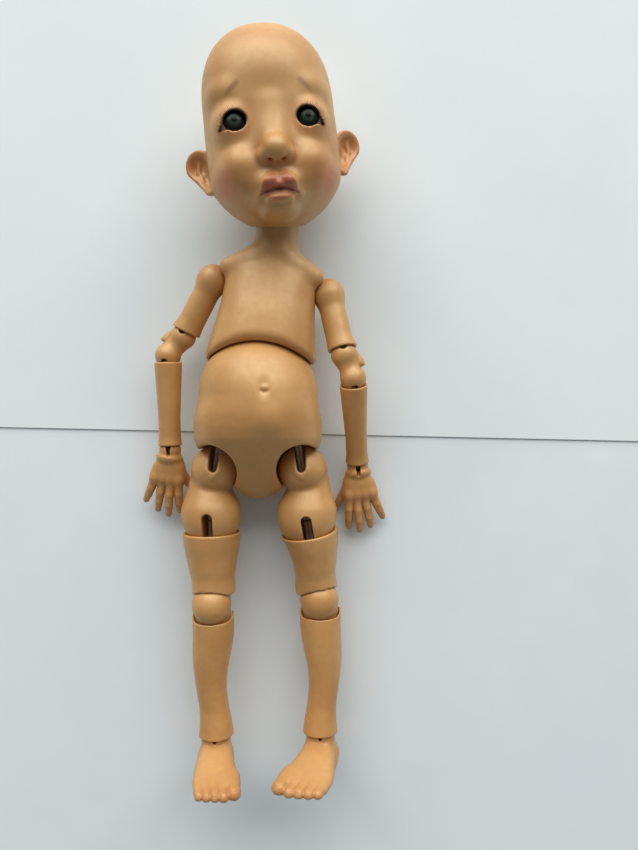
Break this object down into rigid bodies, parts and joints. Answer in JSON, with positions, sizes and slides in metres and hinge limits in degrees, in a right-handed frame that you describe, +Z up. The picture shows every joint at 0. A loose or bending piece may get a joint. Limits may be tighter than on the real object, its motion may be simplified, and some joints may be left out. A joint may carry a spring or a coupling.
{
  "type": "ball jointed doll",
  "caption": "Small resin ball jointed doll with a large head, glassy eyes and double-jointed elbows and knees, strung on elastic and lying on its back",
  "frame": {"origin": "on the surface the doll lies on, under the middle of its bounding box", "axes": "+Z up from the surface, out of the doll's front; +Y towards the crown of the head; +X towards the doll's own left side"},
  "size_m": [0.0914, 0.2642, 0.0538],
  "materials": {
    "resin": "matte warm tan, blushed on the face",
    "elastic": "off-white braided elastic cord",
    "steel": "bare wire",
    "magnet": "plated discs",
    "acrylic": "clear gloss over a dark grey-green iris"
  },
  "bodies": {
    "chest": {"chest": "resin"},
    "neck_elastic": {"neck_elastic": "elastic"},
    "head_elastic": {"head_elastic": "elastic"},
    "head": {"head": "resin", "eye_right": "acrylic", "eye_left": "acrylic", "neck_hook": "steel", "head_magnet_top": "magnet", "head_magnet_low": "magnet"},
    "head_cap": {"head_cap": "resin", "cap_magnet_top": "magnet", "cap_magnet_low": "magnet"},
    "spine_elastic": {"spine_elastic": "elastic"},
    "waist_elastic": {"waist_elastic": "elastic"},
    "pelvis": {"pelvis": "resin", "pelvis_bar": "steel", "pelvis_elastic": "elastic"},
    "shoulder_elastic_right": {"shoulder_elastic_right": "elastic"},
    "upper_arm_right": {"upper_arm_right": "resin"},
    "upper_arm_elastic_right": {"upper_arm_elastic_right": "elastic"},
    "forearm_elastic_right": {"forearm_elastic_right": "elastic"},
    "forearm_right": {"forearm_right": "resin"},
    "wrist_hook_right": {"wrist_hook_right": "steel"},
    "hand_right": {"hand_right": "resin"},
    "hip_elastic_right": {"hip_elastic_right": "elastic"},
    "lower_thigh_elastic_right": {"lower_thigh_elastic_right": "elastic"},
    "lower_thigh_right": {"lower_thigh_right": "resin"},
    "shin_elastic_right": {"shin_elastic_right": "elastic"},
    "shin_right": {"shin_right": "resin"},
    "ankle_hook_right": {"ankle_hook_right": "steel"},
    "foot_right": {"foot_right": "resin"},
    "elbow_right": {"elbow_right": "resin", "elbow_elastic_right": "elastic"},
    "knee_right": {"knee_right": "resin", "knee_elastic_right": "elastic"},
    "upper_thigh_right": {"upper_thigh_right": "resin", "upper_thigh_elastic_right": "elastic"},
    "shoulder_elastic_left": {"shoulder_elastic_left": "elastic"},
    "upper_arm_left": {"upper_arm_left": "resin"},
    "upper_arm_elastic_left": {"upper_arm_elastic_left": "elastic"},
    "forearm_elastic_left": {"forearm_elastic_left": "elastic"},
    "forearm_left": {"forearm_left": "resin"},
    "wrist_hook_left": {"wrist_hook_left": "steel"},
    "hand_left": {"hand_left": "resin"},
    "hip_elastic_left": {"hip_elastic_left": "elastic"},
    "lower_thigh_elastic_left": {"lower_thigh_elastic_left": "elastic"},
    "lower_thigh_left": {"lower_thigh_left": "resin"},
    "shin_elastic_left": {"shin_elastic_left": "elastic"},
    "shin_left": {"shin_left": "resin"},
    "ankle_hook_left": {"ankle_hook_left": "steel"},
    "foot_left": {"foot_left": "resin"},
    "elbow_left": {"elbow_left": "resin", "elbow_elastic_left": "elastic"},
    "knee_left": {"knee_left": "resin", "knee_elastic_left": "elastic"},
    "upper_thigh_left": {"upper_thigh_left": "resin", "upper_thigh_elastic_left": "elastic"}
  },
  "joints": [
    {"name": "neck_turn", "type": "hinge", "parent": "chest", "child": "neck_elastic", "pos_m": [0.00622, 0.06971, 0.0205], "axis": [0.1228, 0.9721, 0.2], "range_deg": [-35, 35]},
    {"name": "neck_nod", "type": "hinge", "parent": "neck_elastic", "child": "head_elastic", "pos_m": [0.00622, 0.06971, 0.0205], "axis": [1, 0, 0], "range_deg": [-10, 10]},
    {"name": "neck_tilt", "type": "hinge", "parent": "head_elastic", "child": "head", "pos_m": [0.00622, 0.06971, 0.0205], "axis": [0, 0, 1], "range_deg": [-8, 8]},
    {"name": "head_cap_lift", "type": "slide", "parent": "head", "child": "head_cap", "axis": [-0.1039, -0.0118, -0.9945], "range_m": [0, 0.012]},
    {"name": "waist_twist", "type": "hinge", "parent": "chest", "child": "spine_elastic", "pos_m": [-0.00115, 0.0064, 0.0175], "axis": [0.1094, 0.9927, -0.0509], "range_deg": [-12, 12]},
    {"name": "waist_bend", "type": "hinge", "parent": "spine_elastic", "child": "waist_elastic", "pos_m": [-0.00115, 0.0064, 0.0175], "axis": [1, 0, 0], "range_deg": [-6, 10]},
    {"name": "waist_side_bend", "type": "hinge", "parent": "waist_elastic", "child": "pelvis", "pos_m": [-0.00115, 0.0064, 0.0175], "axis": [0, 0, 1], "range_deg": [-5, 5]},
    {"name": "shoulder_swing_right", "type": "hinge", "parent": "chest", "child": "shoulder_elastic_right", "pos_m": [-0.01848, 0.04813, 0.0155], "axis": [-0.9921, 0.1253, 0], "range_deg": [-20, 90]},
    {"name": "shoulder_raise_right", "type": "hinge", "parent": "shoulder_elastic_right", "child": "upper_arm_right", "pos_m": [-0.01848, 0.04813, 0.0155], "axis": [0, 0, -1], "range_deg": [0, 75]},
    {"name": "elbow_turn_right", "type": "hinge", "parent": "upper_arm_right", "child": "upper_arm_elastic_right", "pos_m": [-0.02945, 0.02794, 0.01308], "axis": [0.4745, 0.874, 0.1045], "range_deg": [0, 60]},
    {"name": "elbow_upper_right", "type": "hinge", "parent": "upper_arm_elastic_right", "child": "elbow_right", "pos_m": [-0.02945, 0.02794, 0.01308], "axis": [-0.9697, 0.2443, 0], "range_deg": [0, 60]},
    {"name": "elbow_lower_right", "type": "hinge", "parent": "elbow_right", "child": "forearm_elastic_right", "pos_m": [-0.03501, 0.021, 0.01308], "axis": [0.9697, -0.2443, 0], "range_deg": [-60, 0]},
    {"name": "forearm_turn_right", "type": "hinge", "parent": "forearm_elastic_right", "child": "forearm_right", "pos_m": [-0.03501, 0.021, 0.01308], "axis": [0.0035, -0.9962, -0.0872], "range_deg": [-60, 60]},
    {"name": "wrist_turn_right", "type": "hinge", "parent": "forearm_right", "child": "wrist_hook_right", "pos_m": [-0.03489, -0.01387, 0.01004], "axis": [0.0035, -0.9962, -0.0872], "range_deg": [-60, 60]},
    {"name": "wrist_bend_right", "type": "hinge", "parent": "wrist_hook_right", "child": "hand_right", "pos_m": [-0.03489, -0.01387, 0.01004], "axis": [-1, -0.0035, 0], "range_deg": [-30, 40]},
    {"name": "hip_turn_right", "type": "hinge", "parent": "pelvis", "child": "hip_elastic_right", "pos_m": [-0.01685, -0.0207, 0.016], "axis": [-0.1564, -0.9877, 0], "range_deg": [-5, 40]},
    {"name": "hip_flex_right", "type": "hinge", "parent": "hip_elastic_right", "child": "upper_thigh_right", "pos_m": [-0.01685, -0.0207, 0.016], "axis": [-0.9947, 0.1028, 0], "range_deg": [-5, 75]},
    {"name": "thigh_flex_right", "type": "hinge", "parent": "upper_thigh_right", "child": "lower_thigh_elastic_right", "pos_m": [-0.01867, -0.03824, 0.01446], "axis": [0.9999, 0.0122, 0], "range_deg": [-60, 0]},
    {"name": "thigh_turn_right", "type": "hinge", "parent": "lower_thigh_elastic_right", "child": "lower_thigh_right", "pos_m": [-0.01867, -0.03824, 0.01446], "axis": [0.0122, -0.9998, -0.0175], "range_deg": [-30, 30]},
    {"name": "knee_upper_right", "type": "hinge", "parent": "lower_thigh_right", "child": "knee_right", "pos_m": [-0.01829, -0.06943, 0.01391], "axis": [0.9998, 0.0183, 0], "range_deg": [0, 45]},
    {"name": "knee_lower_right", "type": "hinge", "parent": "knee_right", "child": "shin_elastic_right", "pos_m": [-0.01821, -0.07403, 0.01391], "axis": [-0.9998, -0.0183, 0], "range_deg": [-45, 0]},
    {"name": "shin_turn_right", "type": "hinge", "parent": "shin_elastic_right", "child": "shin_right", "pos_m": [-0.01821, -0.07403, 0.01391], "axis": [0.0244, -0.9995, -0.0209], "range_deg": [-30, 30]},
    {"name": "ankle_turn_right", "type": "hinge", "parent": "shin_right", "child": "ankle_hook_right", "pos_m": [-0.01707, -0.12061, 0.01294], "axis": [0.0244, -0.9995, -0.0209], "range_deg": [-20, 20]},
    {"name": "ankle_flex_right", "type": "hinge", "parent": "ankle_hook_right", "child": "foot_right", "pos_m": [-0.01707, -0.12061, 0.01294], "axis": [-0.9997, -0.0244, 0], "range_deg": [-35, 20]},
    {"name": "shoulder_swing_left", "type": "hinge", "parent": "chest", "child": "shoulder_elastic_left", "pos_m": [0.02477, 0.04267, 0.0155], "axis": [-0.9921, 0.1253, 0], "range_deg": [-20, 90]},
    {"name": "shoulder_raise_left", "type": "hinge", "parent": "shoulder_elastic_left", "child": "upper_arm_left", "pos_m": [0.02477, 0.04267, 0.0155], "axis": [0, 0, 1], "range_deg": [0, 75]},
    {"name": "elbow_turn_left", "type": "hinge", "parent": "upper_arm_left", "child": "upper_arm_elastic_left", "pos_m": [0.02977, 0.02048, 0.01951], "axis": [0.2165, -0.9607, 0.1736], "range_deg": [0, 60]},
    {"name": "elbow_upper_left", "type": "hinge", "parent": "upper_arm_elastic_left", "child": "elbow_left", "pos_m": [0.02977, 0.02048, 0.01951], "axis": [-0.9888, -0.1494, 0], "range_deg": [0, 60]},
    {"name": "elbow_lower_left", "type": "hinge", "parent": "elbow_left", "child": "forearm_elastic_left", "pos_m": [0.03301, 0.01218, 0.01951], "axis": [0.9888, 0.1494, 0], "range_deg": [-60, 0]},
    {"name": "forearm_turn_left", "type": "hinge", "parent": "forearm_elastic_left", "child": "forearm_left", "pos_m": [0.03301, 0.01218, 0.01951], "axis": [0.0674, -0.918, -0.3907], "range_deg": [-60, 60]},
    {"name": "wrist_turn_left", "type": "hinge", "parent": "forearm_left", "child": "wrist_hook_left", "pos_m": [0.03537, -0.01995, 0.00584], "axis": [0.0674, -0.918, -0.3907], "range_deg": [-60, 60]},
    {"name": "wrist_bend_left", "type": "hinge", "parent": "wrist_hook_left", "child": "hand_left", "pos_m": [0.03537, -0.01995, 0.00584], "axis": [-0.9973, -0.0732, 0], "range_deg": [-30, 40]},
    {"name": "hip_turn_left", "type": "hinge", "parent": "pelvis", "child": "hip_elastic_left", "pos_m": [0.01455, -0.0207, 0.016], "axis": [-0.1564, 0.9877, 0], "range_deg": [-5, 40]},
    {"name": "hip_flex_left", "type": "hinge", "parent": "hip_elastic_left", "child": "upper_thigh_left", "pos_m": [0.01455, -0.0207, 0.016], "axis": [-0.9959, -0.0906, 0], "range_deg": [-5, 75]},
    {"name": "thigh_flex_left", "type": "hinge", "parent": "upper_thigh_left", "child": "lower_thigh_elastic_left", "pos_m": [0.01614, -0.03826, 0.01446], "axis": [0.9882, 0.153, 0], "range_deg": [-60, 0]},
    {"name": "thigh_turn_left", "type": "hinge", "parent": "lower_thigh_elastic_left", "child": "lower_thigh_left", "pos_m": [0.01614, -0.03826, 0.01446], "axis": [0.1515, -0.9786, -0.1392], "range_deg": [-30, 30]},
    {"name": "knee_upper_left", "type": "hinge", "parent": "lower_thigh_left", "child": "knee_left", "pos_m": [0.02087, -0.06879, 0.01012], "axis": [0.9971, 0.0755, 0], "range_deg": [0, 45]},
    {"name": "knee_lower_left", "type": "hinge", "parent": "knee_left", "child": "shin_elastic_left", "pos_m": [0.02127, -0.07337, 0.01012], "axis": [-0.9971, -0.0755, 0], "range_deg": [-45, 0]},
    {"name": "shin_turn_left", "type": "hinge", "parent": "shin_elastic_left", "child": "shin_left", "pos_m": [0.02127, -0.07337, 0.01012], "axis": [-0.0017, -0.9982, 0.0593], "range_deg": [-30, 30]},
    {"name": "ankle_turn_left", "type": "hinge", "parent": "shin_left", "child": "ankle_hook_left", "pos_m": [0.02119, -0.11989, 0.01288], "axis": [-0.0017, -0.9982, 0.0593], "range_deg": [-20, 20]},
    {"name": "ankle_flex_left", "type": "hinge", "parent": "ankle_hook_left", "child": "foot_left", "pos_m": [0.02119, -0.11989, 0.01288], "axis": [-1, 0.0017, 0], "range_deg": [-35, 20]}
  ]
}
